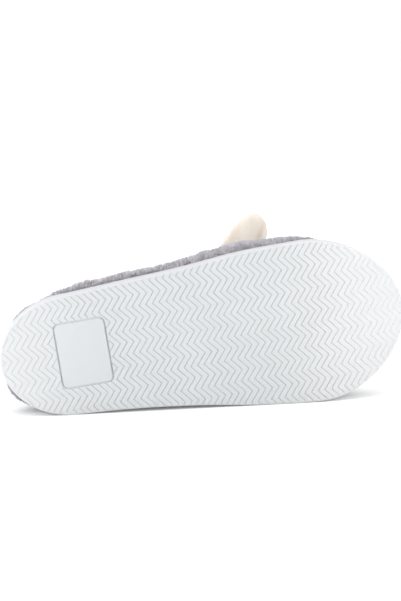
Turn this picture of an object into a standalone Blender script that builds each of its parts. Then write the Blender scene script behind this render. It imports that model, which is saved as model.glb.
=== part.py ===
"""Right house slipper with a fleece upper, two plush ears and a moulded sole, lying on its medial side.

The pieces are worked out in the shoe's own frame, in metres: X from heel to toe, Y to the medial side,
Z up from the ground. A parent empty then lays the shoe on the floor with its tread facing -Y.
"""

import math
from collections import namedtuple

import bmesh
import bpy
import numpy as np
from mathutils import Matrix, Vector

# Driving sizes of the sole
LENGTH = 0.259
HEEL_ROUND = 0.043
TOE_ROUND = 0.061
HEEL_FULLNESS = 1.95
TOE_FULLNESS = 1.95
FLAT_FROM = 0.022
FLAT_TO = 0.178
HEEL_LIFT = 0.0015
TOE_SPRING = 0.010
GROUND_EDGE_RADIUS = 0.003
TOP_EDGE_RADIUS = 0.002

# Driving sizes of the upper, the insole and the ears
GAP = 0.0003
UPPER_WALL = 0.006
UPPER_INSET = 0.001
COLLAR_BACK = 0.010
COLLAR_FRONT = 0.144
COLLAR_HALF_WIDTH = 0.034
COLLAR_LEAD = 0.45
INSOLE_THICKNESS = 0.008
INSOLE_EDGE_RADIUS = 0.003
INSOLE_CLEARANCE = 0.0020
INSOLE_DISH = 0.0015
EAR_LENGTH = 0.0445
EAR_ROOT = 0.010
EAR_CUP = 0.0025
EAR_DROOP = 0.008
EAR_PLACE = 0.158
EAR_FROM_CENTRE = 0.026

# How finely the pieces are divided
AROUND = 72
UP_THE_WALL = 10
EDGE_STEPS = 4
EAR_AROUND = 16
EAR_STEPS = 12

# The sole's plan: where its centre line runs and how wide it is, from heel to toe
Plan = namedtuple("Plan", "along centre half_width thickness")
PLAN = (
    Plan(0.000, 0.0024, 0.0373, 0.0180),
    Plan(0.043, 0.0029, 0.0379, 0.0180),
    Plan(0.083, 0.0031, 0.0405, 0.0175),
    Plan(0.118, 0.0042, 0.0437, 0.0165),
    Plan(0.163, 0.0058, 0.0494, 0.0155),
    Plan(0.198, 0.0074, 0.0515, 0.0150),
    Plan(0.259, 0.0074, 0.0492, 0.0145),
)

# The upper's ribs, each a curve from the sole's edge to the collar, by angle from the heel to the toe.
# Bulges and collar height are in metres; rise, reach and drop are shares of the rib's height and run.
# At the ball the medial side bulges less than the lateral one, and at the heel more.
Rib = namedtuple("Rib", "angle lateral_bulge medial_bulge rise reach drop collar_height")
RIBS = (
    Rib(0, 0.0015, 0.0015, 0.42, 0.10, 0.42, 0.060),
    Rib(20, 0.0005, 0.0055, 0.42, 0.10, 0.42, 0.059),
    Rib(42, 0.0010, 0.0015, 0.42, 0.10, 0.42, 0.056),
    Rib(62, 0.0034, 0.0026, 0.45, 0.15, 0.40, 0.052),
    Rib(84, 0.0034, 0.0032, 0.48, 0.28, 0.30, 0.053),
    Rib(106, 0.0074, 0.0035, 0.51, 0.37, 0.19, 0.059),
    Rib(135, 0.0010, 0.0035, 0.56, 0.42, 0.08, 0.068),
    Rib(180, 0.0010, 0.0010, 0.60, 0.46, 0.04, 0.073),
)

# Sections of an ear from its root to its tip. Sweep moves a section towards the toe.
EarSection = namedtuple("EarSection", "along half_width half_thickness sweep")
EAR_SECTIONS = (
    EarSection(0.00, 0.0155, 0.0040, 0.0000),
    EarSection(0.30, 0.0180, 0.0045, 0.0010),
    EarSection(0.60, 0.0180, 0.0042, 0.0040),
    EarSection(0.82, 0.0155, 0.0036, 0.0070),
    EarSection(0.95, 0.0104, 0.0028, 0.0088),
    EarSection(1.00, 0.0050, 0.0018, 0.0094),
)

# Each ear leaves the vamp in its own direction: the lower one is pushed up by the floor
Ear = namedtuple("Ear", "name side forward outward upward")
EARS = (
    Ear("ear_lateral", -1, 0.20, 0.92, 0.30),
    Ear("ear_medial", 1, 0.20, 0.25, 0.95),
)

# Colours as linear red, green and blue, with a roughness
Finish = namedtuple("Finish", "colour roughness")
WHITE_RUBBER = Finish((0.82, 0.83, 0.84), 0.55)
GREY_FLEECE = Finish((0.33, 0.32, 0.35), 0.95)
FOOTBED_FLEECE = Finish((0.40, 0.39, 0.41), 0.95)
CREAM_PLUSH = Finish((0.86, 0.76, 0.64), 0.90)


def smooth(table, column, at):
    """A column of a table as a smooth curve over the table's first column, read at the given places."""
    places = np.array([row[0] for row in table])
    values = np.array([getattr(row, column) for row in table])
    slopes = np.gradient(values, places)
    i = np.clip(np.searchsorted(places, at) - 1, 0, len(places) - 2)
    step = places[i + 1] - places[i]
    t = (at - places[i]) / step
    start = (1 + 2 * t) * (1 - t) ** 2 * values[i] + t * (1 - t) ** 2 * step * slopes[i]
    end = t**2 * (3 - 2 * t) * values[i + 1] + t**2 * (t - 1) * step * slopes[i + 1]
    return start + end


def rounded(share, fullness):
    """Height of a rounded end of unit height, at a share of the way in from its tip."""
    return (1 - (1 - np.clip(share, 0, 1)) ** fullness) ** (1 / fullness)


def around():
    """Angles round the shoe: the heel at 0, then the lateral side, the toe and the medial side."""
    return np.linspace(0, 2 * math.pi, AROUND, endpoint=False)


def outline(inset=0.0):
    """The sole's outline in plan as rows of x and y, moved in by the inset."""
    angle = around()
    x = LENGTH * (1 - np.cos(angle)) / 2
    ends = rounded(x / HEEL_ROUND, HEEL_FULLNESS) * rounded((LENGTH - x) / TOE_ROUND, TOE_FULLNESS)
    y = smooth(PLAN, "centre", x) - np.sign(np.sin(angle)) * smooth(PLAN, "half_width", x) * ends
    points = np.column_stack((x, y))
    return points - inset * plan_normals(points)


def plan_normals(points):
    """Unit normals of a closed ring in plan, pointing out of it."""
    along = np.roll(points, -1, axis=0) - np.roll(points, 1, axis=0)
    outward = np.column_stack((along[:, 1], -along[:, 0]))
    outward /= np.linalg.norm(outward, axis=1, keepdims=True)
    from_middle = points - points.mean(axis=0)
    return outward * np.sign((outward * from_middle).sum())


def ground(x):
    """Height of the tread: flat under the foot, lifted a little at the heel and sprung at the toe."""
    heel = HEEL_LIFT * (np.clip(FLAT_FROM - x, 0, None) / FLAT_FROM) ** 2
    toe = TOE_SPRING * (np.clip(x - FLAT_TO, 0, None) / (LENGTH - FLAT_TO)) ** 2
    return heel + toe


def sole_top(x):
    """Height of the outsole's top face."""
    return ground(x) + smooth(PLAN, "thickness", x)


def ring_at(inset, height):
    """A ring of points on the outline moved in by the inset, at the height that a function of x gives."""
    plan = outline(inset)
    return np.column_stack((plan, height(plan[:, 0])))


def rounded_edge(radius, steps):
    """Pairs of inset and height that turn a quarter circle, from a face's edge to the side."""
    for turn in np.linspace(0, math.pi / 2, steps):
        yield radius * (1 - math.sin(turn)), radius * (1 - math.cos(turn))


def new_object(name, shape, finish):
    """An object with a mesh, shaded smooth across soft edges, and a plain material."""
    mesh = bpy.data.meshes.new(name)
    shape.to_mesh(mesh)
    shape.free()
    mesh.shade_smooth()
    mesh.set_sharp_from_angle(angle=math.radians(40))
    material = bpy.data.materials.new(name)
    material.use_nodes = True
    shader = material.node_tree.nodes["Principled BSDF"]
    shader.inputs["Base Color"].default_value = (*finish.colour, 1)
    shader.inputs["Roughness"].default_value = finish.roughness
    mesh.materials.append(material)
    obj = bpy.data.objects.new(name, mesh)
    bpy.context.scene.collection.objects.link(obj)
    return obj


def join_vertices(shape, lower, upper):
    """A wall of quads between two rings of vertices."""
    for i in range(len(lower)):
        shape.faces.new((lower[i - 1], lower[i], upper[i], upper[i - 1]))


def join_rings(shape, rings):
    """Walls between neighbouring rings of points. Returns the rings' vertices."""
    made = [[shape.verts.new(point) for point in ring] for ring in rings]
    for lower, upper in zip(made, made[1:]):
        join_vertices(shape, lower, upper)
    return made


def close_across(shape, ring):
    """A cap of strips across a ring that runs up one side of the shoe and down the other."""
    count = len(ring)
    for i in range(count // 2):
        corners = (ring[i], ring[i + 1], ring[-i - 1], ring[-i % count])
        shape.faces.new(dict.fromkeys(corners))


def closed_loft(rings):
    """A closed solid through rings of points, capped across the first and the last."""
    shape = bmesh.new()
    made = join_rings(shape, rings)
    close_across(shape, made[0])
    close_across(shape, made[-1])
    bmesh.ops.recalc_face_normals(shape, faces=shape.faces)
    return shape


def make_outsole():
    """The moulded sole: flat tread, round ground edge, upright side and a small round at the top."""
    ground_edge = [
        ring_at(inset, lambda x, up=height: ground(x) + up)
        for inset, height in rounded_edge(GROUND_EDGE_RADIUS, EDGE_STEPS)
    ]
    top_edge = [
        ring_at(inset, lambda x, down=height: sole_top(x) - down)
        for inset, height in rounded_edge(TOP_EDGE_RADIUS, EDGE_STEPS - 1)
    ]
    return new_object("outsole", closed_loft(ground_edge + top_edge[::-1]), WHITE_RUBBER)


def make_insole():
    """The footbed: a pad inside the upper's wall, with a round top edge and a shallow dish."""
    edge = UPPER_INSET + UPPER_WALL + INSOLE_CLEARANCE
    top = GAP + INSOLE_THICKNESS
    bottom = ring_at(edge, lambda x: sole_top(x) + GAP)
    top_edge = [
        ring_at(edge + inset, lambda x, down=height: sole_top(x) + top - down)
        for inset, height in rounded_edge(INSOLE_EDGE_RADIUS, EDGE_STEPS)
    ]
    dish = ring_at(edge + 4 * INSOLE_EDGE_RADIUS, lambda x: sole_top(x) + top - INSOLE_DISH)
    return new_object("insole", closed_loft([bottom] + top_edge[::-1] + [dish]), FOOTBED_FLEECE)


def collar():
    """The edge of the foot's opening: an egg in plan, high at instep and heel and low at the sides."""
    angle = around()
    ahead = angle + COLLAR_LEAD * np.sin(angle)
    x = COLLAR_BACK + (COLLAR_FRONT - COLLAR_BACK) * (1 - np.cos(ahead)) / 2
    y = smooth(PLAN, "centre", x) - COLLAR_HALF_WIDTH * np.sin(ahead)
    return np.column_stack((x, y, from_ribs("collar_height")))


def from_ribs(column):
    """A column of the ribs' table at every angle, level where it crosses the heel and the toe."""
    past_heel = RIBS[1]._replace(angle=-RIBS[1].angle)
    past_toe = RIBS[-2]._replace(angle=360 - RIBS[-2].angle)
    turned = np.degrees(around())
    return smooth((past_heel, *RIBS, past_toe), column, np.minimum(turned, 360 - turned))


def upper_rings():
    """The upper's outer surface as rings from the sole's edge to the collar, each rib a cubic curve."""
    foot = ring_at(UPPER_INSET, lambda x: sole_top(x) + GAP)
    edge = collar()
    outward = np.column_stack((plan_normals(foot[:, :2]), np.zeros(AROUND)))
    up = np.array((0, 0, 1))
    climb = (edge - foot)[:, 2:]
    run = (foot - edge) * (1, 1, 0)
    rise, reach, drop = (from_ribs(name)[:, None] for name in ("rise", "reach", "drop"))
    on_medial = (around() > math.pi)[:, None]
    bulge = np.where(on_medial, from_ribs("medial_bulge")[:, None], from_ribs("lateral_bulge")[:, None])
    lower_pull = foot + rise * climb * up + 2 * bulge * outward
    upper_pull = edge + reach * run - drop * climb * up + bulge * outward
    for t in np.linspace(0, 1, UP_THE_WALL + 1):
        lower_half = (1 - t) ** 3 * foot + 3 * t * (1 - t) ** 2 * lower_pull
        upper_half = 3 * t**2 * (1 - t) * upper_pull + t**3 * edge
        yield lower_half + upper_half


def make_upper():
    """The fleece shell: the ribs' surface and its wall inwards, a round lip at the collar, open below."""
    outer = np.array(list(upper_rings()))
    along = np.roll(outer, -1, axis=1) - np.roll(outer, 1, axis=1)
    upward = np.gradient(outer, axis=0)
    inward = np.cross(upward, along)
    inward /= np.linalg.norm(inward, axis=2, keepdims=True)
    upward /= np.linalg.norm(upward, axis=2, keepdims=True)
    inner = outer + UPPER_WALL * inward
    inner[0, :, 2] = sole_top(inner[0, :, 0]) + GAP
    lip = (outer[-1] + inner[-1]) / 2 + UPPER_WALL / 3 * upward[-1]
    shape = bmesh.new()
    made = join_rings(shape, [*outer, lip, *inner[::-1]])
    join_vertices(shape, made[-1], made[0])
    bmesh.ops.recalc_face_normals(shape, faces=shape.faces)
    return new_object("upper", shape, GREY_FLEECE)


def make_upper_form():
    """The upper's outside as a filled form, a gap larger all over, which the ears are cut by."""
    shape = closed_loft(list(upper_rings()))
    shape.normal_update()
    for vertex, normal in [(vertex, vertex.normal.copy()) for vertex in shape.verts]:
        vertex.co += normal * GAP
    form = new_object("upper_form", shape, GREY_FLEECE)
    form.hide_render = True
    form.display_type = "WIRE"
    return form


def vamp_point(side):
    """Where an ear is sewn on: the outer surface's point nearest to the ear's place in plan."""
    points = np.concatenate(list(upper_rings()))
    centre = smooth(PLAN, "centre", np.array([EAR_PLACE]))[0]
    place = np.array((EAR_PLACE, centre + side * EAR_FROM_CENTRE))
    return Vector(points[np.linalg.norm(points[:, :2] - place, axis=1).argmin()])


def make_ear(ear, form):
    """A stuffed ear: lens-shaped sections along a drooping line, cut to the vamp that it is sewn to."""
    outward = Vector((ear.forward, ear.side * ear.outward, ear.upward)).normalized()
    forward = (Vector((1, 0, 0)) - outward * outward.x).normalized()
    front = forward.cross(outward) * ear.side
    root = vamp_point(ear.side)
    rings = []
    columns = ("half_width", "half_thickness", "sweep")
    for share in np.linspace(0, 1, EAR_STEPS):
        at = np.array([share])
        half_width, half_thickness, sweep = (smooth(EAR_SECTIONS, name, at)[0] for name in columns)
        middle = root + outward * (EAR_LENGTH * share - EAR_ROOT * (1 - share)) + forward * sweep
        middle -= front * EAR_DROOP * share**2
        rings.append([
            middle
            + forward * half_width * math.cos(turn)
            + front * (half_thickness * math.sin(turn) + EAR_CUP * math.cos(turn) ** 2)
            for turn in np.linspace(0, 2 * math.pi, EAR_AROUND, endpoint=False)
        ])
    obj = new_object(ear.name, closed_loft(rings), CREAM_PLUSH)
    cut = obj.modifiers.new("cut to the vamp", "BOOLEAN")
    cut.operation = "DIFFERENCE"
    cut.object = form
    return obj


def points_of(obj):
    """An object's points with its modifiers, as columns."""
    mesh = obj.evaluated_get(bpy.context.evaluated_depsgraph_get()).to_mesh()
    flat = np.empty(3 * len(mesh.vertices))
    mesh.vertices.foreach_get("co", flat)
    return flat.reshape(-1, 3).T


def level(axis, first, second, turn=0.0, reach=math.radians(20)):
    """The turn about an axis that brings the lowest points of two sets of points to one height."""
    for _ in range(40):
        reach /= 2
        rotation = np.array(Matrix.Rotation(turn, 3, axis))
        difference = (rotation @ first)[2].min() - (rotation @ second)[2].min()
        turn += reach * np.sign(difference)
    return Matrix.Rotation(turn, 4, axis)


def lay_down(pieces, cutter):
    """Lays the shoe on its medial side, on the sole's edge and the upper, its box centred."""
    by_name = {piece.name: points_of(piece) for piece in pieces}
    turn = Matrix.Rotation(math.radians(-90), 4, "X")
    for _ in range(4):
        sole, upper = (np.array(turn.to_3x3()) @ by_name[name] for name in ("outsole", "upper"))
        middle = sole[0].mean()
        turn = level("Y", sole[:, sole[0] > middle], sole[:, sole[0] < middle]) @ turn
        sole, upper = (np.array(turn.to_3x3()) @ by_name[name] for name in ("outsole", "upper"))
        turn = level("X", sole, upper) @ turn
    placed = np.array(turn.to_3x3()) @ np.concatenate(list(by_name.values()), axis=1)
    low = placed.min(axis=1)
    middle = (low + placed.max(axis=1)) / 2
    floor = bpy.data.objects.new("lying_on_floor", None)
    bpy.context.scene.collection.objects.link(floor)
    floor.matrix_world = Matrix.Translation((-middle[0], -middle[1], -low[2])) @ turn
    for obj in (*pieces, cutter):
        obj.parent = floor


def main():
    for obj in list(bpy.data.objects):
        bpy.data.objects.remove(obj)
    form = make_upper_form()
    pieces = [make_outsole(), make_insole(), make_upper()]
    pieces += [make_ear(ear, form) for ear in EARS]
    bpy.context.view_layer.update()
    lay_down(pieces, form)
    bpy.context.view_layer.update()


main()
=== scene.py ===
import math
from collections import namedtuple
import bpy
import numpy as np
from mathutils import Matrix, Vector, noise
from mathutils.bvhtree import BVHTree


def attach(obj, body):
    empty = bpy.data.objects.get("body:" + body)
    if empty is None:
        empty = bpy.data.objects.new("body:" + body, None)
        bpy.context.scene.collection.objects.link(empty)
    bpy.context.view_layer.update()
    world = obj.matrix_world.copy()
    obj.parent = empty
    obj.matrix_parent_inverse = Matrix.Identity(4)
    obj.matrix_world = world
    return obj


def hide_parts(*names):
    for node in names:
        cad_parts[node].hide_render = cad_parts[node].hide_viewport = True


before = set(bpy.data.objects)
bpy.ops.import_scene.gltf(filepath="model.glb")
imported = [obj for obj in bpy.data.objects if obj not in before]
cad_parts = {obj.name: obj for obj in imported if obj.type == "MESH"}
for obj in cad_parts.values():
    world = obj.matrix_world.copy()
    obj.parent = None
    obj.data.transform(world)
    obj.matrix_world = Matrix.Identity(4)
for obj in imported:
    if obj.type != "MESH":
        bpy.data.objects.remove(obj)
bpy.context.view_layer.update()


# Outsole: one moulding of white rubber foam with a round edge, a zigzag tread and a plain pad at the heel.
# It comes out of its mould in one piece and is cemented round the bottom of the upper.
# It is shaped standing, heel at the origin and toe along X, and then laid on its side like the CAD model.

LYING = Matrix((
    (0.992871, 0.119191, 0.000000, -0.129194),
    (-0.003111, 0.025918, 0.999659, -0.051453),
    (0.119150, -0.992533, 0.026104, 0.035381),
    (0, 0, 0, 1),
))
STANDING = LYING.inverted()

SOLE_LENGTH = 0.259
HEEL_ROUND = 0.043
TOE_ROUND = 0.061
ROUND_FULLNESS = 1.95
FLAT_FROM = 0.022
FLAT_TO = 0.178
HEEL_LIFT = 0.0015
TOE_SPRING = 0.010
GROUND_EDGE_RADIUS = 0.0014
GROUND_EDGE_STEPS = 7
TOP_EDGE_RADIUS = 0.002
TOP_EDGE_STEPS = 4
ROUND_PROFILE = 0.5
SOLE_POINTS = 240
BLANK_THICKNESS = 0.016
LEVEL_TOLERANCE = 1e-6
STATION_STEP = 0.0065

SolePlan = namedtuple("SolePlan", "along centre half_width thickness")
SOLE_PLAN = (
    SolePlan(0.000, 0.0024, 0.0373, 0.0180),
    SolePlan(0.043, 0.0029, 0.0379, 0.0180),
    SolePlan(0.083, 0.0031, 0.0405, 0.0175),
    SolePlan(0.118, 0.0042, 0.0437, 0.0165),
    SolePlan(0.163, 0.0058, 0.0494, 0.0155),
    SolePlan(0.198, 0.0074, 0.0515, 0.0150),
    SolePlan(0.259, 0.0074, 0.0492, 0.0145),
)

GROOVE_PITCH = 0.00431
GROOVE_WIDTH = 0.0032
GROOVE_FLOOR_WIDTH = 0.0006
GROOVE_DEPTH = 0.00046
GROOVE_HEEL_DEPTH = 0.00027
GROOVE_TOE_DEPTH = 0.00010
GROOVE_FADE = 0.055
GROOVE_CLEARANCE = 0.003
ZIGZAG_LEG = 0.00733
ZIGZAG_RISE = 0.0061
ZIGZAG_FIRST_CORNER = (-0.0069, -0.0657)
ZIGZAG_LEGS = 18
GROOVE_COUNT = 62
TREAD_INSET = 0.0003
TREAD_AREA_LEVELS = (-0.02, 0.04)

PAD_LOW = (0.0372, -0.0180)
PAD_HIGH = (0.0684, 0.0224)
PAD_CORNER = 0.003
PAD_CORNER_STEPS = 8
PAD_GROOVE_WIDTH = 0.0011
PAD_GROOVE_DEPTH = 0.0011
PAD_GROOVE_SIDE_DEPTH = 0.0005
PAD_AREA_LEVELS = (-0.03, 0.05)
FACING_DOWN = -0.9


def plan_column(column, at):
    """A column of the sole's plan as a smooth curve from heel to toe, read at the given places."""
    places = np.array([row.along for row in SOLE_PLAN])
    values = np.array([getattr(row, column) for row in SOLE_PLAN])
    slopes = np.gradient(values, places)
    i = np.clip(np.searchsorted(places, at) - 1, 0, len(places) - 2)
    step = places[i + 1] - places[i]
    t = (at - places[i]) / step
    start = (1 + 2 * t) * (1 - t) ** 2 * values[i] + t * (1 - t) ** 2 * step * slopes[i]
    end = t**2 * (3 - 2 * t) * values[i + 1] + t**2 * (t - 1) * step * slopes[i + 1]
    return start + end


def round_end(share):
    """Half width of the sole's rounded end, from 0 at its tip to 1 where the straight side begins."""
    return (1 - (1 - np.clip(share, 0, 1)) ** ROUND_FULLNESS) ** (1 / ROUND_FULLNESS)


def sole_outline(count, inset=0.0):
    """The sole's edge seen from above, as a ring of places moved inwards by the inset."""
    angle = np.linspace(0, 2 * math.pi, count, endpoint=False)
    x = SOLE_LENGTH * (1 - np.cos(angle)) / 2
    ends = round_end(x / HEEL_ROUND) * round_end((SOLE_LENGTH - x) / TOE_ROUND)
    y = plan_column("centre", x) + np.sign(np.sin(angle)) * plan_column("half_width", x) * ends
    ring = np.column_stack((x, y))
    along = np.roll(ring, -1, axis=0) - np.roll(ring, 1, axis=0)
    inwards = np.column_stack((along[:, 1], -along[:, 0]))
    inwards /= np.linalg.norm(inwards, axis=1, keepdims=True)
    return ring + inset * inwards


def tread_height(x):
    """How far the tread stands off the ground: flat under the foot, sprung at the toe, eased at the heel."""
    heel = HEEL_LIFT * (np.clip(FLAT_FROM - x, 0, None) / FLAT_FROM) ** 2
    toe = TOE_SPRING * (np.clip(x - FLAT_TO, 0, None) / (SOLE_LENGTH - FLAT_TO)) ** 2
    return heel + toe


def pick(piece):
    """Leaves edit mode and makes a piece the only selected one and the active one."""
    if bpy.context.mode != "OBJECT":
        bpy.ops.object.mode_set(mode="OBJECT")
    bpy.ops.object.select_all(action="DESELECT")
    piece.select_set(True)
    bpy.context.view_layer.objects.active = piece


def select_edges(piece, test):
    """Leaves a piece in edit mode with those edges selected whose ends both pass a test on their place."""
    pick(piece)
    bpy.ops.object.mode_set(mode="EDIT")
    bpy.ops.mesh.select_mode(type="EDGE")
    bpy.ops.mesh.select_all(action="DESELECT")
    bpy.ops.object.mode_set(mode="OBJECT")
    points = piece.data.vertices
    for edge in piece.data.edges:
        edge.select = all(test(points[i].co) for i in edge.vertices)
    bpy.ops.object.mode_set(mode="EDIT")


def select_faces(piece, test):
    """Leaves a piece in edit mode with those faces selected that pass a test on their centre and normal."""
    pick(piece)
    bpy.ops.object.mode_set(mode="EDIT")
    bpy.ops.mesh.select_mode(type="FACE")
    bpy.ops.mesh.select_all(action="DESELECT")
    bpy.ops.object.mode_set(mode="OBJECT")
    for face in piece.data.polygons:
        face.select = test(face.center, face.normal)
    bpy.ops.object.mode_set(mode="EDIT")


def face_outwards(piece):
    """Turns all faces of a closed piece outwards."""
    pick(piece)
    bpy.ops.object.mode_set(mode="EDIT")
    bpy.ops.mesh.select_all(action="SELECT")
    bpy.ops.mesh.normals_make_consistent(inside=False)
    bpy.ops.object.mode_set(mode="OBJECT")


def apply_modifiers(piece):
    """Applies a piece's modifiers in their order."""
    pick(piece)
    for modifier in list(piece.modifiers):
        bpy.ops.object.modifier_apply(modifier=modifier.name)


def cut(piece, tool, operation):
    """Cuts a piece by a tool, which is used up."""
    change = piece.modifiers.new("cut", "BOOLEAN")
    change.operation = operation
    change.solver = "EXACT"
    change.object = tool
    apply_modifiers(piece)
    bpy.data.objects.remove(tool)


def block_from_ring(name, ring, low, high):
    """An upright block over a ring of places, from a low to a high level."""
    bpy.ops.object.select_all(action="DESELECT")
    bpy.ops.mesh.primitive_circle_add(vertices=len(ring), radius=SOLE_LENGTH, fill_type="NGON")
    block = bpy.context.object
    block.name = name
    for vertex, (x, y) in zip(block.data.vertices, ring):
        vertex.co = (x, y, low)
    bpy.ops.object.mode_set(mode="EDIT")
    bpy.ops.mesh.select_all(action="SELECT")
    bpy.ops.mesh.extrude_region_move(TRANSFORM_OT_translate={"value": (0, 0, high - low)})
    bpy.ops.object.mode_set(mode="OBJECT")
    face_outwards(block)
    return block


def follow_tread(piece):
    """Lifts every point of a tool by the height of the tread at its place."""
    for vertex in piece.data.vertices:
        vertex.co.z += float(tread_height(vertex.co.x))


# The blank: the outline as a block, its two rims rounded, cut across at stations, then bent to the toe spring
outsole = block_from_ring("moulded_outsole", sole_outline(SOLE_POINTS), 0, BLANK_THICKNESS)
select_edges(outsole, lambda place: place.z < LEVEL_TOLERANCE)
bpy.ops.mesh.bevel(
    offset=GROUND_EDGE_RADIUS, segments=GROUND_EDGE_STEPS, profile=ROUND_PROFILE, affect="EDGES"
)
select_edges(outsole, lambda place: place.z > BLANK_THICKNESS - LEVEL_TOLERANCE)
bpy.ops.mesh.bevel(offset=TOP_EDGE_RADIUS, segments=TOP_EDGE_STEPS, profile=ROUND_PROFILE, affect="EDGES")
for station in np.arange(STATION_STEP / 2, SOLE_LENGTH, STATION_STEP):
    bpy.ops.mesh.select_all(action="SELECT")
    bpy.ops.mesh.bisect(plane_co=(float(station), 0, 0), plane_no=(1, 0, 0))
bpy.ops.object.mode_set(mode="OBJECT")
for vertex in outsole.data.vertices:
    lift = float(tread_height(vertex.co.x))
    if vertex.co.z > BLANK_THICKNESS / 2:
        lift += float(plan_column("thickness", np.array([vertex.co.x]))[0]) - BLANK_THICKNESS
    vertex.co.z += lift

# One zigzag groove: a narrow strip drawn out leg by leg across the sole, deepened and narrowed to its floor
bpy.ops.object.select_all(action="DESELECT")
bpy.ops.mesh.primitive_plane_add(size=1)
grooves = bpy.context.object
start_x, start_y = ZIGZAG_FIRST_CORNER
for vertex in grooves.data.vertices:
    far = vertex.co.y > 0
    x = start_x + (ZIGZAG_RISE if far else 0) + math.copysign(GROOVE_WIDTH / 2, vertex.co.x)
    vertex.co = (x, start_y + (ZIGZAG_LEG if far else 0), -GROOVE_CLEARANCE)
select_edges(grooves, lambda place: place.y > start_y + ZIGZAG_LEG / 2)
for leg in range(1, ZIGZAG_LEGS):
    step = (ZIGZAG_RISE if leg % 2 == 0 else -ZIGZAG_RISE, ZIGZAG_LEG, 0)
    bpy.ops.mesh.extrude_region_move(TRANSFORM_OT_translate={"value": step})
bpy.ops.mesh.select_all(action="SELECT")
bpy.ops.mesh.extrude_region_move(
    TRANSFORM_OT_translate={"value": (0, 0, GROOVE_CLEARANCE + GROOVE_DEPTH)}
)
bpy.ops.object.mode_set(mode="OBJECT")
for vertex in grooves.data.vertices:
    if vertex.co.z > 0:
        corner = round((vertex.co.y - start_y) / ZIGZAG_LEG)
        middle = start_x + ZIGZAG_RISE * (corner % 2)
        vertex.co.x = middle + math.copysign(GROOVE_FLOOR_WIDTH / 2, vertex.co.x - middle)
face_outwards(grooves)
rows = grooves.modifiers.new("rows", "ARRAY")
rows.use_relative_offset = False
rows.use_constant_offset = True
rows.constant_offset_displace = (GROOVE_PITCH, 0, 0)
rows.count = GROOVE_COUNT
apply_modifiers(grooves)
for vertex in grooves.data.vertices:
    if vertex.co.z > 0:
        from_toe = SOLE_LENGTH - vertex.co.x
        end_depth = GROOVE_HEEL_DEPTH if vertex.co.x < from_toe else GROOVE_TOE_DEPTH
        fade = min(max(min(vertex.co.x, from_toe) / GROOVE_FADE, 0), 1)
        vertex.co.z = end_depth + (GROOVE_DEPTH - end_depth) * fade
follow_tread(grooves)


def pad_block(grow, low, high):
    """A rounded rectangle over the heel pad, grown all round, from a low to a high level."""
    bpy.ops.object.select_all(action="DESELECT")
    bpy.ops.mesh.primitive_plane_add(size=1)
    block = bpy.context.object
    for vertex in block.data.vertices:
        x = PAD_HIGH[0] + grow if vertex.co.x > 0 else PAD_LOW[0] - grow
        y = PAD_HIGH[1] + grow if vertex.co.y > 0 else PAD_LOW[1] - grow
        vertex.co = (x, y, low)
    bpy.ops.object.mode_set(mode="EDIT")
    bpy.ops.mesh.select_all(action="SELECT")
    bpy.ops.mesh.bevel(
        offset=PAD_CORNER + grow, segments=PAD_CORNER_STEPS, profile=ROUND_PROFILE, affect="VERTICES"
    )
    bpy.ops.mesh.select_all(action="SELECT")
    bpy.ops.mesh.extrude_region_move(TRANSFORM_OT_translate={"value": (0, 0, high - low)})
    bpy.ops.object.mode_set(mode="OBJECT")
    face_outwards(block)
    return block


# The groove round the pad is deep along its heel and toe sides and shallower along the other two
pad_groove = pad_block(PAD_GROOVE_WIDTH, -GROOVE_CLEARANCE, PAD_GROOVE_DEPTH)
cut(pad_groove, pad_block(0, -2 * GROOVE_CLEARANCE, 2 * GROOVE_CLEARANCE), "DIFFERENCE")
for vertex in pad_groove.data.vertices:
    if vertex.co.z > 0:
        off_x = vertex.co.x - min(max(vertex.co.x, PAD_LOW[0] + PAD_CORNER), PAD_HIGH[0] - PAD_CORNER)
        off_y = vertex.co.y - min(max(vertex.co.y, PAD_LOW[1] + PAD_CORNER), PAD_HIGH[1] - PAD_CORNER)
        endwise = off_x**2 / (off_x**2 + off_y**2)
        vertex.co.z = PAD_GROOVE_SIDE_DEPTH + (PAD_GROOVE_DEPTH - PAD_GROOVE_SIDE_DEPTH) * endwise

# The zigzag grooves stay inside the rim and end in the groove round the pad
tread_ring = sole_outline(SOLE_POINTS, TREAD_INSET)
tread_area = block_from_ring("tread_area", tread_ring, *TREAD_AREA_LEVELS)
cut(tread_area, pad_block(PAD_GROOVE_WIDTH / 2, *PAD_AREA_LEVELS), "DIFFERENCE")
cut(grooves, tread_area, "INTERSECT")
cut(outsole, grooves, "DIFFERENCE")
cut(outsole, pad_groove, "DIFFERENCE")

# The pad's face is greyer than the tread, so its faces are marked for the rubber
pad_marks = outsole.data.attributes.new("pad", "FLOAT", "FACE")
for face in outsole.data.polygons:
    in_plan = all(low < at < high for low, at, high in zip(PAD_LOW, face.center, PAD_HIGH))
    pad_marks.data[face.index].value = 1.0 if in_plan and face.normal.z < FACING_DOWN else 0.0


def finish_piece(piece, material, smooth_angle):
    """Gives a finished piece its material and shading, lays it on its side and presses it onto the floor."""
    piece.data.materials.clear()
    piece.data.materials.append(material)
    piece.data.transform(LYING)
    for vertex in piece.data.vertices:
        vertex.co.z = max(vertex.co.z, 0.0)
    pick(piece)
    bpy.ops.object.shade_smooth_by_angle(angle=math.radians(smooth_angle))


def add_node(tree, kind, sockets, **settings):
    """A new node with its settings, each socket fed from another node's output or set to a value."""
    node = tree.nodes.new(kind)
    for name, value in settings.items():
        setattr(node, name, value)
    for socket, source in sockets.items():
        if isinstance(source, bpy.types.NodeSocket):
            tree.links.new(source, node.inputs[socket])
        else:
            node.inputs[socket].default_value = source
    return node


def product(tree, first, second):
    """Two colours multiplied, or a colour dimmed by a value."""
    mix = add_node(
        tree,
        "ShaderNodeMix",
        {"Factor": 1.0, "A": first, "B": second},
        data_type="RGBA",
        blend_type="MULTIPLY",
    )
    return mix.outputs["Result"]


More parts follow.
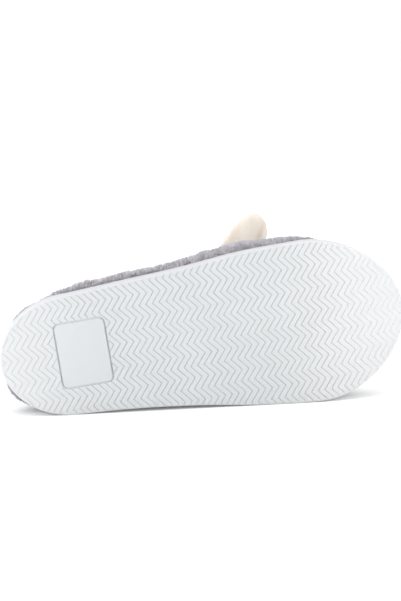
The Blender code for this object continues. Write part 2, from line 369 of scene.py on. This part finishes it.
def new_group(name, inputs, outputs):
    """A shader group with named inputs and outputs, each given with its kind, and its two end nodes."""
    group = bpy.data.node_groups.new(name, "ShaderNodeTree")
    for title, kind in inputs:
        group.interface.new_socket(name=title, in_out="INPUT", socket_type="NodeSocket" + kind)
    for title, kind in outputs:
        group.interface.new_socket(name=title, in_out="OUTPUT", socket_type="NodeSocket" + kind)
    return group, group.nodes.new("NodeGroupInput"), group.nodes.new("NodeGroupOutput")


# Soft patches: a colour that is a little darker and duller in soft patches
PATCH_ROUGHER = 0.1
PATCH_DETAIL = 3.0
PATCH_FROM = 0.3
PATCH_TO = 0.7
patches, given, made = new_group(
    "soft_patches",
    (("Colour", "Color"), ("Scale", "Float"), ("Depth", "Float"), ("Roughness", "Float")),
    (("Colour", "Color"), ("Roughness", "Float")),
)
place = add_node(patches, "ShaderNodeTexCoord", {})
cloud = add_node(
    patches,
    "ShaderNodeTexNoise",
    {"Vector": place.outputs["Object"], "Scale": given.outputs["Scale"], "Detail": PATCH_DETAIL},
)
patch = add_node(
    patches,
    "ShaderNodeMapRange",
    {"Value": cloud.outputs["Fac"], "From Min": PATCH_FROM, "From Max": PATCH_TO},
)
loss = add_node(
    patches, "ShaderNodeMath", {0: patch.outputs["Result"], 1: given.outputs["Depth"]}, operation="MULTIPLY"
)
rest = add_node(patches, "ShaderNodeMath", {0: 1.0, 1: loss.outputs["Value"]}, operation="SUBTRACT")
tint = product(patches, given.outputs["Colour"], rest.outputs["Value"])
dull = add_node(
    patches,
    "ShaderNodeMath",
    {0: patch.outputs["Result"], 1: PATCH_ROUGHER, 2: given.outputs["Roughness"]},
    operation="MULTIPLY_ADD",
)
patches.links.new(tint, made.inputs["Colour"])
patches.links.new(dull.outputs["Value"], made.inputs["Roughness"])

# Surface grain: fine unevenness all over a surface
GRAIN_DETAIL = 2.0
grain, given, made = new_group(
    "surface_grain",
    (("Scale", "Float"), ("Strength", "Float"), ("Distance", "Float")),
    (("Height", "Float"), ("Normal", "Vector")),
)
place = add_node(grain, "ShaderNodeTexCoord", {})
cloud = add_node(
    grain,
    "ShaderNodeTexNoise",
    {"Vector": place.outputs["Object"], "Scale": given.outputs["Scale"], "Detail": GRAIN_DETAIL},
)
bump = add_node(
    grain,
    "ShaderNodeBump",
    {
        "Strength": given.outputs["Strength"],
        "Distance": given.outputs["Distance"],
        "Height": cloud.outputs["Fac"],
    },
)
grain.links.new(cloud.outputs["Fac"], made.inputs["Height"])
grain.links.new(bump.outputs["Normal"], made.inputs["Normal"])


def new_material(name):
    """A material with a Principled shader, and its node tree."""
    material = bpy.data.materials.new(name)
    material.use_nodes = True
    return material, material.node_tree, material.node_tree.nodes["Principled BSDF"]


def add_ramp(tree, factor, first, last, low=0.0, high=1.0):
    """A ramp between two colours, driven by a factor."""
    ramp = add_node(tree, "ShaderNodeValToRGB", {"Fac": factor})
    ramp.color_ramp.elements[0].position = low
    ramp.color_ramp.elements[0].color = (*first, 1)
    ramp.color_ramp.elements[1].position = high
    ramp.color_ramp.elements[1].color = (*last, 1)
    return ramp.outputs["Color"]


def add_patches(tree, shader, colour, scale, depth, roughness):
    """Feeds a shader's colour and roughness through soft patches."""
    spots = add_node(
        tree,
        "ShaderNodeGroup",
        {"Colour": colour, "Scale": scale, "Depth": depth, "Roughness": roughness},
        node_tree=patches,
    )
    tree.links.new(spots.outputs["Colour"], shader.inputs["Base Color"])
    tree.links.new(spots.outputs["Roughness"], shader.inputs["Roughness"])


def add_grain(tree, shader, scale, strength, distance):
    """Gives a shader a surface grain, and returns the grain's height."""
    fine = add_node(
        tree,
        "ShaderNodeGroup",
        {"Scale": scale, "Strength": strength, "Distance": distance},
        node_tree=grain,
    )
    tree.links.new(fine.outputs["Normal"], shader.inputs["Normal"])
    return fine.outputs["Height"]


RUBBER_WHITE = (0.628, 0.640, 0.642)
RUBBER_SHADED_WAIST = (0.556, 0.574, 0.580)
RUBBER_PAD = (0.975, 0.98, 0.98)
RUBBER_SHADE_AT = -0.015
RUBBER_SHADE_HALF = 0.045

# White rubber: painted shade greys it at the waist and painted light whitens it towards the heel and the toe;
# it is a little greyer on the pad
rubber, tree, shader = new_material("white_rubber_foam")
place = add_node(tree, "ShaderNodeTexCoord", {})
parts = add_node(tree, "ShaderNodeSeparateXYZ", {"Vector": place.outputs["Object"]})
off_middle = add_node(
    tree, "ShaderNodeMath", {0: parts.outputs["X"], 1: RUBBER_SHADE_AT}, operation="SUBTRACT"
)
from_middle = add_node(tree, "ShaderNodeMath", {0: off_middle.outputs["Value"]}, operation="ABSOLUTE")
# Painted light and shade: the rubber is whiter the further it lies from the waist towards the heel or the toe
painted_end_light = add_node(
    tree,
    "ShaderNodeMapRange",
    {"Value": from_middle.outputs["Value"], "From Min": RUBBER_SHADE_HALF, "From Max": SOLE_LENGTH / 2},
    interpolation_type="SMOOTHSTEP",
)
on_pad = add_node(tree, "ShaderNodeAttribute", {}, attribute_name="pad")
white = add_ramp(tree, painted_end_light.outputs["Result"], RUBBER_SHADED_WAIST, RUBBER_WHITE)
white = product(tree, white, add_ramp(tree, on_pad.outputs["Fac"], (1, 1, 1), RUBBER_PAD))
add_patches(tree, shader, white, scale=26, depth=0.03, roughness=0.45)
add_grain(tree, shader, scale=1400, strength=0.12, distance=0.0002)

finish_piece(outsole, rubber, smooth_angle=35)
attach(outsole, "root")
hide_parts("outsole")


# Upper: a hollow shell of grey fleece, closed over the toe and round the heel and open at the collar.
# Its panels are sewn inside out and turned, lined with the same fleece and lasted to the sole.
# A knitted backing carries a short dense pile, which is laid on as small tufts.

MERGE_DISTANCE = 0.00002
QUAD_ANGLE = 60
FLEECE_DEPTH = 0.0018
FLEECE_LUMP = 0.0010
FLEECE_LUMP_SIZE = 0.0065
BROAD_LUMP = 3
CLUMP_GAIN = 3.2
CLUMP_BASE = 0.9
LINING_SHARE = 0.5
INSIDE_FROM = 0.045
INSIDE_TO = 0.205
INSIDE_HEIGHT = 0.030
INSIDE_SWING = 0.03
TUFT_LENGTH = 0.0027
TUFT_RADIUS = 0.00056
TUFT_LEAN = 0.0009
TUFT_CROWDING = 1.6
SEED_STEP = 10
LINING_SEED = 40
SPLIT_AT = 0.118
WELT_SHADE = 0.6
WELT_SHADE_HEIGHT = 0.004
CLUMP_CREASE_SHADE = 0.88
CLUMP_CREASE_SHADE_RANGE = 0.12
CLOTH_ROUGHNESS = 0.85
CLOTH_SHEEN = 0.2
PILE_SHEEN_ROUGHNESS = 0.6
FLEECE_PATCH_SCALE = 90
FLEECE_PATCH_DEPTH = 0.12
# The tufts' roots are darker than their tips: painted shade deep in the pile
FLEECE_ROOT = (0.480, 0.469, 0.496)
FLEECE_TIP = (0.860, 0.842, 0.876)
# The backing's greys are darker than the pile's tips: painted shade down between the tufts
KNIT_DARK = (0.400, 0.391, 0.413)
KNIT_LIGHT = (0.640, 0.627, 0.652)

# How a pile grows: its tufts' spacing, sweep, stray lean, shortest and longest share, and range of tones
Pile = namedtuple("Pile", "spacing sweep stray shortest longest dullest brightest")
OUTER_FLEECE = Pile(0.0005, 2.2, 0.5, 0.70, 1.20, 0.85, 1.10)
LINING_FLEECE = Pile(0.0007, 1.6, 0.5, 0.55, 0.85, 0.95, 1.15)

# Places where the fleece stands fuller, each with its radius and its rise
FullSpot = namedtuple("FullSpot", "place radius rise")
FULL_SPOTS = (
    FullSpot(Vector((0.055, -0.037, 0.026)), 0.013, 0.0018),
    FullSpot(Vector((0.096, -0.039, 0.026)), 0.018, 0.0018),
    FullSpot(Vector((0.197, -0.045, 0.024)), 0.016, 0.0014),
    FullSpot(Vector((0.006, 0.026, 0.024)), 0.016, 0.0046),
    FullSpot(Vector((0.014, -0.028, 0.024)), 0.010, 0.0022),
)


def copy_of_node(node, name):
    """A copy of a CAD node stood up like the sole, its loose triangles joined into one skin of quads."""
    piece = bpy.data.objects.new(name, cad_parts[node].data.copy())
    bpy.context.scene.collection.objects.link(piece)
    piece.data.transform(STANDING)
    pick(piece)
    bpy.ops.object.mode_set(mode="EDIT")
    bpy.ops.mesh.select_all(action="SELECT")
    bpy.ops.mesh.customdata_custom_splitnormals_clear()
    bpy.ops.mesh.remove_doubles(threshold=MERGE_DISTANCE)
    widest = math.radians(QUAD_ANGLE)
    bpy.ops.mesh.tris_convert_to_quads(face_threshold=widest, shape_threshold=widest)
    bpy.ops.object.mode_set(mode="OBJECT")
    return piece


def subdivide(piece, levels):
    """Rounds a piece by subdividing its surface."""
    rounding = piece.modifiers.new("rounding", "SUBSURF")
    rounding.levels = levels
    rounding.render_levels = levels
    apply_modifiers(piece)


def looks_out(place, normal):
    """Whether a bit of the shell faces out of the shoe rather than in towards the foot."""
    x = min(max(place.x, INSIDE_FROM), INSIDE_TO)
    return normal.dot(place - Vector((x, INSIDE_SWING * x, INSIDE_HEIGHT))) > 0


def clump(place):
    """Height of the fleece's clumps at a place, from just over -1 in their creases to 1 on their tops."""
    return min(max(CLUMP_GAIN * abs(noise.noise(place / FLEECE_LUMP_SIZE)) - CLUMP_BASE, -1), 1)


fleece_body = copy_of_node("upper", "fleece_body")
subdivide(fleece_body, 2)
heights = fleece_body.data.attributes.new("clump", "FLOAT", "POINT")
moves = []
for vertex in fleece_body.data.vertices:
    height = clump(vertex.co)
    heights.data[vertex.index].value = height
    rise = FLEECE_LUMP * (height + noise.noise(vertex.co / (BROAD_LUMP * FLEECE_LUMP_SIZE)))
    if looks_out(vertex.co, vertex.normal):
        rise -= FLEECE_DEPTH
        for spot in FULL_SPOTS:
            rise += spot.rise * math.exp(-(((vertex.co - spot.place).length / spot.radius) ** 2))
    else:
        rise = LINING_SHARE * (rise - FLEECE_DEPTH)
    moves.append(rise * vertex.normal)
for vertex, move in zip(fleece_body.data.vertices, moves):
    vertex.co += move

# One tuft, a three-sided spike with its tip drawn aside, which the pile repeats
bpy.ops.object.select_all(action="DESELECT")
bpy.ops.mesh.primitive_cone_add(vertices=3, radius1=TUFT_RADIUS, depth=TUFT_LENGTH)
tuft = bpy.context.object
tuft.name = "fleece_tuft"
along = tuft.data.attributes.new("along", "FLOAT", "POINT")
for vertex in tuft.data.vertices:
    at_tip = vertex.co.z > 0
    along.data[vertex.index].value = 1.0 if at_tip else 0.0
    vertex.co.z += TUFT_LENGTH / 2 - TUFT_RADIUS / 2
    vertex.co.x += TUFT_LEAN if at_tip else 0.0


def random_between(tree, kind, low, high, seed):
    """A random number or vector for each tuft."""
    value = add_node(tree, "FunctionNodeRandomValue", {"Seed": seed}, data_type=kind)
    sockets = [socket for socket in value.inputs if socket.enabled]
    sockets[0].default_value = low
    sockets[1].default_value = high
    return next(socket for socket in value.outputs if socket.enabled)


def grow_pile(base, kind, seed):
    """Sets tufts all over a base, swept in clumps, each with its own stray lean, length and tone."""
    tree = bpy.data.node_groups.new("pile", "GeometryNodeTree")
    tree.interface.new_socket(name="Base", in_out="INPUT", socket_type="NodeSocketGeometry")
    tree.interface.new_socket(name="Pile", in_out="OUTPUT", socket_type="NodeSocketGeometry")
    came = tree.nodes.new("NodeGroupInput")
    gone = tree.nodes.new("NodeGroupOutput")
    spread = add_node(
        tree,
        "GeometryNodeDistributePointsOnFaces",
        {"Mesh": came.outputs["Base"]},
        distribute_method="POISSON",
    )
    spread.inputs["Distance Min"].default_value = kind.spacing
    spread.inputs["Density Max"].default_value = TUFT_CROWDING / kind.spacing**2
    spread.inputs["Seed"].default_value = seed
    place = add_node(tree, "GeometryNodeInputPosition", {})
    swirl = add_node(
        tree,
        "ShaderNodeTexNoise",
        {"Vector": place.outputs["Position"], "Scale": 1 / FLEECE_LUMP_SIZE, "Detail": 1.0},
    )
    centred = add_node(
        tree, "ShaderNodeVectorMath", {0: swirl.outputs["Color"], 1: (0.5, 0.5, 0.5)}, operation="SUBTRACT"
    )
    stray = kind.stray
    lean = add_node(
        tree,
        "ShaderNodeVectorMath",
        {
            0: centred.outputs["Vector"],
            1: (kind.sweep, kind.sweep, 0),
            2: random_between(tree, "FLOAT_VECTOR", (-stray, -stray, 0), (stray, stray, 0), seed + 1),
        },
        operation="MULTIPLY_ADD",
    )
    leaning = add_node(
        tree,
        "FunctionNodeRotateRotation",
        {"Rotation": spread.outputs["Rotation"], "Rotate By": lean.outputs["Vector"]},
        rotation_space="LOCAL",
    )
    spin = random_between(tree, "FLOAT_VECTOR", (0, 0, 0), (0, 0, 2 * math.pi), seed + 2)
    turned = add_node(
        tree,
        "FunctionNodeRotateRotation",
        {"Rotation": leaning.outputs["Rotation"], "Rotate By": spin},
        rotation_space="LOCAL",
    )
    pattern = add_node(tree, "GeometryNodeObjectInfo", {"Object": tuft})
    placed = add_node(
        tree,
        "GeometryNodeInstanceOnPoints",
        {
            "Points": spread.outputs["Points"],
            "Instance": pattern.outputs["Geometry"],
            "Rotation": turned.outputs["Rotation"],
            "Scale": random_between(tree, "FLOAT", kind.shortest, kind.longest, seed + 3),
        },
    )
    toned = add_node(
        tree,
        "GeometryNodeStoreNamedAttribute",
        {"Geometry": placed.outputs["Instances"], "Name": "tone"},
        data_type="FLOAT",
        domain="INSTANCE",
    )
    tree.links.new(random_between(tree, "FLOAT", 0, 1, seed + 4), toned.inputs["Value"])
    real = add_node(tree, "GeometryNodeRealizeInstances", {"Geometry": toned.outputs["Geometry"]})
    tree.links.new(real.outputs["Geometry"], gone.inputs["Pile"])
    growth = base.modifiers.new("pile", "NODES")
    growth.node_group = tree
    apply_modifiers(base)


def values_of(piece, name):
    """A piece's own values of one kind, one for each point."""
    values = np.empty(len(piece.data.vertices))
    piece.data.attributes[name].data.foreach_get("value", values)
    return values


def shade_pile(pile, kind):
    """Makes each tuft's tone its brightness: a chance one, with painted shade in the creases and the most
    painted shade down at the sole.
    """
    places = np.empty(3 * len(pile.data.vertices))
    pile.data.vertices.foreach_get("co", places)
    x, _, z = places.reshape(-1, 3).T
    # Painted shade: tufts darken towards the sole's top edge, in the crease between the fleece and the sole
    above_sole = z - tread_height(x) - plan_column("thickness", x)
    lit = np.clip(above_sole / WELT_SHADE_HEIGHT, 0, 1)
    tone = kind.dullest + (kind.brightest - kind.dullest) * values_of(pile, "tone")
    tone *= WELT_SHADE + (1 - WELT_SHADE) * lit
    # Painted shade: tufts in the creases between the clumps are darker
    if "clump" in pile.data.attributes:
        tone *= CLUMP_CREASE_SHADE + CLUMP_CREASE_SHADE_RANGE * values_of(pile, "clump")
    pile.data.attributes["tone"].data.foreach_set("value", tone)


def part_of(piece, name, test):
    """A new piece from a copy of those faces that pass a test on their centre and normal."""
    part = bpy.data.objects.new(name, piece.data.copy())
    bpy.context.scene.collection.objects.link(part)
    select_faces(part, lambda place, normal: not test(place, normal))
    bpy.ops.mesh.delete(type="FACE")
    bpy.ops.object.mode_set(mode="OBJECT")
    return part


def pile_material(name, root, tip, patch_scale, patch_depth, painted_fold_shade=(1, 1, 1)):
    """A material for tufts: from a root darkened as painted shade to the tip, each with its own tone and
    painted shade, in soft patches, with painted shade in folds.
    """
    material, tree, shader = new_material(name)
    shader.inputs["Sheen Weight"].default_value = CLOTH_SHEEN
    shader.inputs["Sheen Roughness"].default_value = PILE_SHEEN_ROUGHNESS
    height = add_node(tree, "ShaderNodeAttribute", {}, attribute_name="along")
    tone = add_node(tree, "ShaderNodeAttribute", {}, attribute_name="tone")
    folded = add_node(tree, "ShaderNodeAttribute", {}, attribute_name="fold")
    shade = product(tree, add_ramp(tree, height.outputs["Fac"], root, tip), tone.outputs["Fac"])
    shade = product(tree, shade, add_ramp(tree, folded.outputs["Fac"], (1, 1, 1), painted_fold_shade))
    add_patches(tree, shader, shade, patch_scale, patch_depth, CLOTH_ROUGHNESS)
    return material


fleece = pile_material("grey_fleece", FLEECE_ROOT, FLEECE_TIP, FLEECE_PATCH_SCALE, FLEECE_PATCH_DEPTH)

# Knitted backing, its grey kept dark as painted shade under the pile
knit, tree, shader = new_material("knitted_backing")
shader.inputs["Sheen Weight"].default_value = CLOTH_SHEEN
weave = add_grain(tree, shader, scale=900, strength=0.5, distance=0.0004)
grey = add_ramp(tree, weave, KNIT_DARK, KNIT_LIGHT, low=0.2, high=0.9)
add_patches(tree, shader, grey, FLEECE_PATCH_SCALE, FLEECE_PATCH_DEPTH, CLOTH_ROUGHNESS)

outer_piles = [
    part_of(fleece_body, "fleece_pile_heel", lambda at, normal: looks_out(at, normal) and at.x < SPLIT_AT),
    part_of(fleece_body, "fleece_pile_toe", lambda at, normal: looks_out(at, normal) and at.x >= SPLIT_AT),
]
lining_pile = part_of(fleece_body, "lining_pile", lambda at, normal: not looks_out(at, normal))
for number, pile in enumerate(outer_piles):
    grow_pile(pile, OUTER_FLEECE, SEED_STEP * number)
    shade_pile(pile, OUTER_FLEECE)
grow_pile(lining_pile, LINING_FLEECE, LINING_SEED)
shade_pile(lining_pile, LINING_FLEECE)

for piece, cloth in ((fleece_body, knit), *((pile, fleece) for pile in (*outer_piles, lining_pile))):
    finish_piece(piece, cloth, smooth_angle=60)
    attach(piece, "root")
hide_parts("upper")


# Ears: two stuffed ears of short cream plush, each sewn from a front and a back panel and turned.
# Their open ends are stitched to the vamp, so they are held there and filled out by the stuffing.

EAR_NARROWER = 0.0006
EAR_VOXEL = 0.0014
EAR_PRESSURE = 14.0
EAR_SWELL = 0.0045
EAR_HELD = 0.006
STUFFING_FRAMES = 20
EASING = 0.5
EASING_REPEATS = 6
PLUSH_NAP = Pile(0.0006, 1.2, 0.6, 0.30, 0.45, 0.94, 1.03)
NAP_SEED = 60
FOLD_DEPTH = 0.0018
FOLD_REACH = 1.2
SPREAD_REACH = 0.75
EAR_SLIM = 0.0024
EAR_TAPER = 0.0030
EAR_STRETCH = 0.022
FOOT_SPREAD = 0.0040
FOOT_HEIGHT = 0.010
FOOT_PINCH = 0.32
EAR_SINK = 0.0040
PLUSH_CREAM = (0.865, 0.808, 0.732)
# The nap's roots are darker than its tips: painted shade deep in the nap
PLUSH_ROOT = (0.822, 0.755, 0.669)
# The fold colour is painted shade in the ears' folds
PLUSH_FOLD_SHADE = (0.780, 0.660, 0.540)
PLUSH_SHEEN = 0.15
PLUSH_SHEEN_ROUGHNESS = 0.5

# The gathers at the foot of an ear: how far along its width, how wide and how deep each one is
Gather = namedtuple("Gather", "across width depth")
GATHERS = (Gather(0.55, 0.12, 0.8), Gather(-0.55, 0.25, 0.3))


def shrink(piece, depth):
    """Moves the skin of a piece inwards."""
    steps = [vertex.normal * depth for vertex in piece.data.vertices]
    for vertex, step in zip(piece.data.vertices, steps):
        vertex.co -= step


def remesh(piece, voxel):
    """Gives a piece one even skin of small quads."""
    skin = piece.modifiers.new("skin", "REMESH")
    skin.mode = "VOXEL"
    skin.voxel_size = voxel
    apply_modifiers(piece)


def stuff(piece, pressure, cap, held):
    """Blows a piece up as cloth that is held where a test on its place says, no point further than a cap."""
    sewn = piece.vertex_groups.new(name="sewn")
    sewn.add([vertex.index for vertex in piece.data.vertices if held(vertex.co)], 1.0, "REPLACE")
    before = [vertex.co.copy() for vertex in piece.data.vertices]
    stuffing = piece.modifiers.new("stuffing", "CLOTH")
    stuffing.settings.use_pressure = True
    stuffing.settings.uniform_pressure_force = pressure
    stuffing.settings.vertex_group_mass = "sewn"
    stuffing.settings.effector_weights.gravity = 0
    stuffing.point_cache.frame_end = STUFFING_FRAMES
    for number in range(1, STUFFING_FRAMES + 1):
        bpy.context.scene.frame_set(number)
    apply_modifiers(piece)
    bpy.context.scene.frame_set(1)
    for vertex, place in zip(piece.data.vertices, before):
        move = vertex.co - place
        if move.length > cap:
            vertex.co = place + move * (cap / move.length)


def ease(piece):
    """Eases small dents out of a piece's skin."""
    easing = piece.modifiers.new("easing", "SMOOTH")
    easing.factor = EASING
    easing.iterations = EASING_REPEATS
    apply_modifiers(piece)


vamp_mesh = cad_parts["upper"].data
vamp = BVHTree.FromPolygons(
    [STANDING @ vertex.co for vertex in vamp_mesh.vertices],
    [face.vertices[:] for face in vamp_mesh.polygons],
)


def at_the_vamp(place):
    """Whether a place on an ear is at its seam to the vamp."""
    return vamp.find_nearest(place)[3] < EAR_HELD


def gather(ear):
    """Pinches the foot of an ear, sinks it into the fleece, spreads the ear heelwards and folds it softly."""
    places = np.array([vertex.co for vertex in ear.data.vertices])
    foot = np.mean([place for place in places if at_the_vamp(Vector(place))], axis=0)
    tip = places[np.argmax(np.linalg.norm(places - foot, axis=1))]
    length = np.linalg.norm(tip - foot)
    upward = (tip - foot) / length
    flat = places - places.mean(axis=0)
    thin = np.linalg.svd(flat, full_matrices=False)[2][2]
    across = np.cross(upward, thin)
    across *= math.copysign(1 / np.linalg.norm(across), across[0])
    widths = (places - places.mean(axis=0)) @ across
    widths /= np.abs(widths).max()
    heights = (places - foot) @ upward
    fading = np.clip(1 - heights / (SPREAD_REACH * length), 0, 1)
    folds = sum(fold.depth * np.exp(-(((widths - fold.across) / fold.width) ** 2)) for fold in GATHERS)
    folds *= np.clip(FOLD_REACH - heights / length, 0, 1)
    # The folds' strength is kept on the ear, where it also paints shade into them
    notes = ear.data.attributes.new("fold", "FLOAT", "POINT")
    notes.data.foreach_set("value", folds)
    above_foot = np.clip(heights / FOOT_HEIGHT, 0, 1)
    heelwards = np.clip(-widths, 0, 1) * (FOOT_SPREAD * fading * above_foot - EAR_TAPER * (1 - fading))
    heelwards += EAR_SLIM * np.clip(widths, 0, 1)
    pinch = FOOT_PINCH * (1 - above_foot) ** 2 * ((places - foot) @ across)
    nearest = [vamp.find_nearest(Vector(place)) for place in places]
    sink = EAR_SINK * np.clip(1 - np.array([near[3] for near in nearest]) / EAR_HELD, 0, 1)
    moves = np.outer(heelwards + pinch, across) - np.outer(EAR_STRETCH * np.clip(heights, 0, None), upward)
    moves += sink[:, None] * np.array([near[1] for near in nearest])
    steps = [vertex.normal * FOLD_DEPTH * float(fold) for vertex, fold in zip(ear.data.vertices, folds)]
    for vertex, step, move in zip(ear.data.vertices, steps, moves):
        vertex.co -= step + Vector(move)


nap_plush = pile_material(
    "cream_plush_nap", PLUSH_ROOT, PLUSH_CREAM, patch_scale=160, patch_depth=0.06, painted_fold_shade=PLUSH_FOLD_SHADE
)

plush, tree, shader = new_material("cream_plush")
shader.inputs["Sheen Weight"].default_value = PLUSH_SHEEN
shader.inputs["Sheen Roughness"].default_value = PLUSH_SHEEN_ROUGHNESS
# Cream plush, with painted shade in its folds
folded = add_node(tree, "ShaderNodeAttribute", {}, attribute_name="fold")
cream = product(tree, (*PLUSH_CREAM, 1), add_ramp(tree, folded.outputs["Fac"], (1, 1, 1), PLUSH_FOLD_SHADE))
add_patches(tree, shader, cream, scale=120, depth=0.06, roughness=CLOTH_ROUGHNESS)
add_grain(tree, shader, scale=1600, strength=0.35, distance=0.0004)

for number, node in enumerate(("ear_lateral", "ear_medial")):
    ear = copy_of_node(node, "plush_" + node)
    subdivide(ear, 2)
    shrink(ear, EAR_NARROWER)
    remesh(ear, EAR_VOXEL)
    stuff(ear, EAR_PRESSURE, EAR_SWELL, at_the_vamp)
    ease(ear)
    gather(ear)
    subdivide(ear, 1)
    nap = part_of(ear, "nap_" + node, lambda at, normal: True)
    grow_pile(nap, PLUSH_NAP, NAP_SEED + SEED_STEP * number)
    shade_pile(nap, PLUSH_NAP)
    finish_piece(ear, plush, smooth_angle=180)
    finish_piece(nap, nap_plush, smooth_angle=60)
    for piece in (ear, nap):
        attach(piece, "root")
    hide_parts(node)


# Insole: a footbed of soft foam under short grey fleece, die cut and laid loose inside the upper.
# The fleece is glued round the foam, so its edge is round and its top is dished by the foot.

INSOLE_NARROWER = 0.0012
INSOLE_VOXEL = 0.003
INSOLE_PRESSURE = 3.0
INSOLE_SWELL = 0.0012
INSOLE_HELD = 0.019
FOOTBED_FLEECE = Pile(0.0008, 1.6, 0.5, 0.45, 0.70, 0.95, 1.15)
FOOTBED_SEED = 80
FACING_UP = 0.4

insole = copy_of_node("insole", "foam_insole")
shrink(insole, INSOLE_NARROWER)
remesh(insole, INSOLE_VOXEL)
stuff(insole, INSOLE_PRESSURE, INSOLE_SWELL, lambda at: at.z < float(tread_height(at.x)) + INSOLE_HELD)
subdivide(insole, 1)
footbed_pile = part_of(insole, "footbed_pile", lambda at, normal: normal.z > FACING_UP)
grow_pile(footbed_pile, FOOTBED_FLEECE, FOOTBED_SEED)
shade_pile(footbed_pile, FOOTBED_FLEECE)
bpy.data.objects.remove(tuft)
finish_piece(insole, knit, smooth_angle=180)
finish_piece(footbed_pile, fleece, smooth_angle=60)
for piece in (insole, footbed_pile):
    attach(piece, "root")
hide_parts("insole")


# Floor, light and camera: a white paper floor glowing as painted light under five soft lamps, and a long lens
# a little above it.
# A wide lamp hangs overhead, one stands at the left and one at the right of the camera, and two weak ones
# stand low behind the heel and the toe, where they lighten the shadow on the floor.

FLOOR_SIZE = 6.0
FLOOR_NEAR = 0.6
FLOOR_FAR = 1.3
FLOOR_WHITE = (0.96, 0.97, 0.96)
FLOOR_ROUGHNESS = 0.9
FLOOR_GLOW = (0.06, 0.06, 0.06)
FLOOR_FAR_GLOW = (0.6, 0.6, 0.6)

bpy.ops.object.select_all(action="DESELECT")
bpy.ops.mesh.primitive_plane_add(size=FLOOR_SIZE)
floor = bpy.context.object
floor.name = "studio_floor"
paper, tree, shader = new_material("white_paper")
shader.inputs["Base Color"].default_value = (*FLOOR_WHITE, 1)
shader.inputs["Roughness"].default_value = FLOOR_ROUGHNESS
# Painted light: the paper glows faintly near the slipper and more brightly further off
shader.inputs["Emission Strength"].default_value = 1.0
place = add_node(tree, "ShaderNodeTexCoord", {})
from_slipper = add_node(tree, "ShaderNodeVectorMath", {0: place.outputs["Object"]}, operation="LENGTH")
far_off = add_node(
    tree,
    "ShaderNodeMapRange",
    {"Value": from_slipper.outputs["Value"], "From Min": FLOOR_NEAR, "From Max": FLOOR_FAR},
)
glow = add_ramp(tree, far_off.outputs["Result"], FLOOR_GLOW, FLOOR_FAR_GLOW)
tree.links.new(glow, shader.inputs["Emission Color"])
floor.data.materials.append(paper)

# The lamps: square and soft, each with the place that it is turned to, its side and its power
Lamp = namedtuple("Lamp", "name place aim size power colour")
LAMPS = (
    Lamp("overhead_lamp", (0.0, 0.5, 2.2), (0, 0.5, 0), 4.0, 56, (1.0, 0.96, 1.03)),
    Lamp("upper_left_lamp", (-0.95, -0.75, 0.75), (-0.1, 0, 0.05), 1.0, 6.5, (0.97, 1.0, 1.0)),
    Lamp("right_lamp", (0.95, -1.0, 0.6), (0.1, 0, 0.05), 1.0, 7, (1.0, 0.99, 0.97)),
    Lamp("low_left_lamp", (-0.9, 0.35, 0.35), (-0.13, 0, 0), 0.6, 2.5, (1.0, 1.0, 1.0)),
    Lamp("low_right_lamp", (0.9, 0.35, 0.35), (0.13, 0, 0), 0.6, 2.5, (1.0, 1.0, 1.0)),
)
for lamp in LAMPS:
    light = bpy.data.lights.new(lamp.name, "AREA")
    light.size = lamp.size
    light.energy = lamp.power
    light.color = lamp.colour
    holder = bpy.data.objects.new(lamp.name, light)
    bpy.context.scene.collection.objects.link(holder)
    holder.location = lamp.place
    holder.rotation_euler = (Vector(lamp.aim) - Vector(lamp.place)).to_track_quat("-Z", "Y").to_euler()

# The air: white to the camera, dimmer as a light
AIR_LIGHT = 0.55
AIR_SEEN = 1.0
world = bpy.data.worlds.new("studio_air")
bpy.context.scene.world = world
world.use_nodes = True
air = world.node_tree
air.nodes["Background"].inputs["Color"].default_value = (1, 1, 1, 1)
seen = air.nodes.new("ShaderNodeLightPath")
level = air.nodes.new("ShaderNodeMapRange")
level.inputs["To Min"].default_value = AIR_LIGHT
level.inputs["To Max"].default_value = AIR_SEEN
air.links.new(seen.outputs["Is Camera Ray"], level.inputs["Value"])
air.links.new(level.outputs["Result"], air.nodes["Background"].inputs["Strength"])
bpy.context.scene.view_settings.view_transform = "Standard"

# The camera: its eye, the point that it looks at with a small shift up and sideways, and its lens
EYE = Vector((-0.062266, -1.228655, 0.208891))
AIM = Vector((0.0, -0.040552, 0.05226))
CAMERA_RIGHT = Vector((0.997427, -0.057855, -0.042341))
CAMERA_UP = Vector((0.049473, 0.127993, 0.990541))
AIM_UP = 0.01535
AIM_RIGHT = -0.00141
LENS = 112.88
SENSOR_WIDTH = 36
NEAREST_SEEN = 0.01

lens = bpy.data.cameras.new("camera")
lens.lens = LENS
lens.sensor_width = SENSOR_WIDTH
lens.clip_start = NEAREST_SEEN
camera = bpy.data.objects.new("camera", lens)
bpy.context.scene.collection.objects.link(camera)
forward = (AIM + CAMERA_UP * AIM_UP + CAMERA_RIGHT * AIM_RIGHT - EYE).normalized()
upright = (CAMERA_UP - forward * CAMERA_UP.dot(forward)).normalized()
sideways = forward.cross(upright)
turn = Matrix((sideways, upright, -forward)).transposed().to_4x4()
camera.matrix_world = Matrix.Translation(EYE) @ turn
bpy.context.scene.camera = camera
